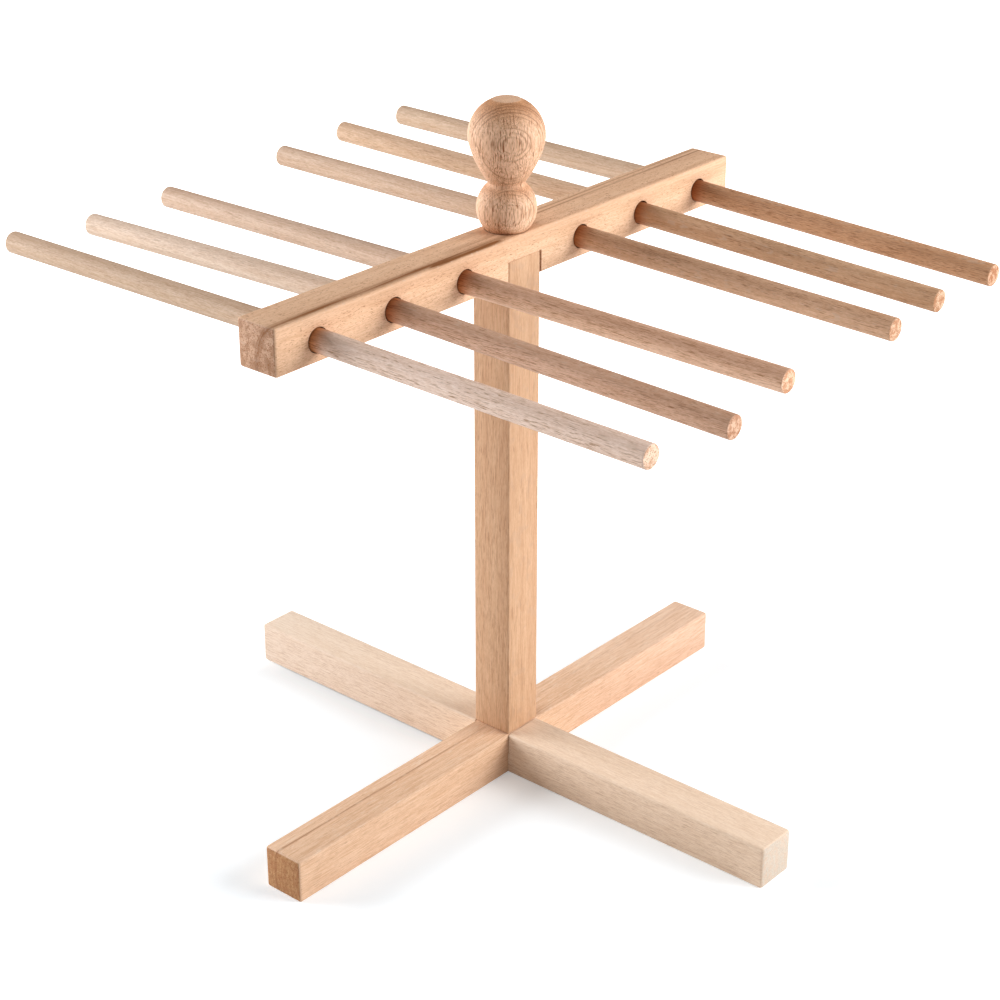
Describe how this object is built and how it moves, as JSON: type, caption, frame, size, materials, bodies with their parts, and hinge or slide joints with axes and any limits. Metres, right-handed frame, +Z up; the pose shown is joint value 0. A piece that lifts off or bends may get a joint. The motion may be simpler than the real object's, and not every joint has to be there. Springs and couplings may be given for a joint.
{
  "type": "pasta drying rack",
  "caption": "Table rack for drying fresh pasta: a crossed base carries a post and a level rail with loose round rods on both sides, held down by a turned knob.",
  "frame": {"origin": "on the table, under the middle of the post, which is the middle of the whole rack", "axes": "+X along the front rods and the longer base bar, +Y along the rail and the shorter base bar, +Z up"},
  "size_m": [0.3602, 0.3, 0.3257],
  "materials": {
    "crossbar_upper_beech": "sawn and sanded, untreated",
    "crossbar_lower_beech": "sawn and sanded, untreated",
    "post_beech": "sawn and sanded, untreated",
    "rail_beech": "sawn and sanded, untreated",
    "rod_beech": "turned and sanded, untreated",
    "knob_beech": "turned and sanded, untreated",
    "zinc_steel": "bright zinc plated",
    "insert_brass": "plain turned"
  },
  "bodies": {
    "stand": {"crossbar_upper": "crossbar_upper_beech", "crossbar_lower": "crossbar_lower_beech", "foot_screw": "zinc_steel", "post": "post_beech", "post_insert": "insert_brass"},
    "rail_body": {"rail": "rail_beech"},
    "knob_body": {"knob": "knob_beech", "knob_stud": "zinc_steel"},
    "rod_front_1_body": {"rod_front_1": "rod_beech"},
    "rod_front_2_body": {"rod_front_2": "rod_beech"},
    "rod_front_3_body": {"rod_front_3": "rod_beech"},
    "rod_front_4_body": {"rod_front_4": "rod_beech"},
    "rod_front_5_body": {"rod_front_5": "rod_beech"},
    "rod_front_6_body": {"rod_front_6": "rod_beech"},
    "rod_back_1_body": {"rod_back_1": "rod_beech"},
    "rod_back_2_body": {"rod_back_2": "rod_beech"},
    "rod_back_3_body": {"rod_back_3": "rod_beech"},
    "rod_back_4_body": {"rod_back_4": "rod_beech"},
    "rod_back_5_body": {"rod_back_5": "rod_beech"},
    "rod_back_6_body": {"rod_back_6": "rod_beech"}
  },
  "joints": [
    {"name": "rail_lift", "type": "slide", "parent": "stand", "child": "rail_body", "axis": [0, 0, 1], "range_m": [0, 0.03]},
    {"name": "knob_turn", "type": "hinge", "parent": "rail_body", "child": "knob_body", "pos_m": [0, 0, 0.2685], "axis": [0, 0, 1], "continuous": true},
    {"name": "rod_front_1_draw", "type": "slide", "parent": "rail_body", "child": "rod_front_1_body", "axis": [1, 0, -0.0099], "range_m": [-0.00384, 0.01582]},
    {"name": "rod_front_2_draw", "type": "slide", "parent": "rail_body", "child": "rod_front_2_body", "axis": [0.9998, 0, -0.0216], "range_m": [-0.00553, 0.01099]},
    {"name": "rod_front_3_draw", "type": "slide", "parent": "rail_body", "child": "rod_front_3_body", "axis": [1, 0, -0.0066], "range_m": [-0.00112, 0.01729]},
    {"name": "rod_front_4_draw", "type": "slide", "parent": "rail_body", "child": "rod_front_4_body", "axis": [0.9998, 0, -0.0199], "range_m": [-0.00211, 0.01792]},
    {"name": "rod_front_5_draw", "type": "slide", "parent": "rail_body", "child": "rod_front_5_body", "axis": [0.9996, 0, -0.0298], "range_m": [-0.00001, 0.02348]},
    {"name": "rod_front_6_draw", "type": "slide", "parent": "rail_body", "child": "rod_front_6_body", "axis": [0.9995, 0, -0.0332], "range_m": [-0.00038, 0.02275]},
    {"name": "rod_back_1_draw", "type": "slide", "parent": "rail_body", "child": "rod_back_1_body", "axis": [-0.9999, 0, -0.0133], "range_m": [-0.00384, 0.01099]},
    {"name": "rod_back_2_draw", "type": "slide", "parent": "rail_body", "child": "rod_back_2_body", "axis": [-0.9996, 0, -0.0282], "range_m": [-0.00553, 0.01246]},
    {"name": "rod_back_3_draw", "type": "slide", "parent": "rail_body", "child": "rod_back_3_body", "axis": [-0.9999, 0, -0.0116], "range_m": [-0.00112, 0.01498]},
    {"name": "rod_back_4_draw", "type": "slide", "parent": "rail_body", "child": "rod_back_4_body", "axis": [-1, 0, -0.0017], "range_m": [-0.00211, 0.01235]},
    {"name": "rod_back_5_draw", "type": "slide", "parent": "rail_body", "child": "rod_back_5_body", "axis": [-0.9999, 0, 0.0116], "range_m": [-0.00001, 0.01099]},
    {"name": "rod_back_6_draw", "type": "slide", "parent": "rail_body", "child": "rod_back_6_body", "axis": [-1, 0, 0.0066], "range_m": [-0.00038, 0.01099]}
  ]
}
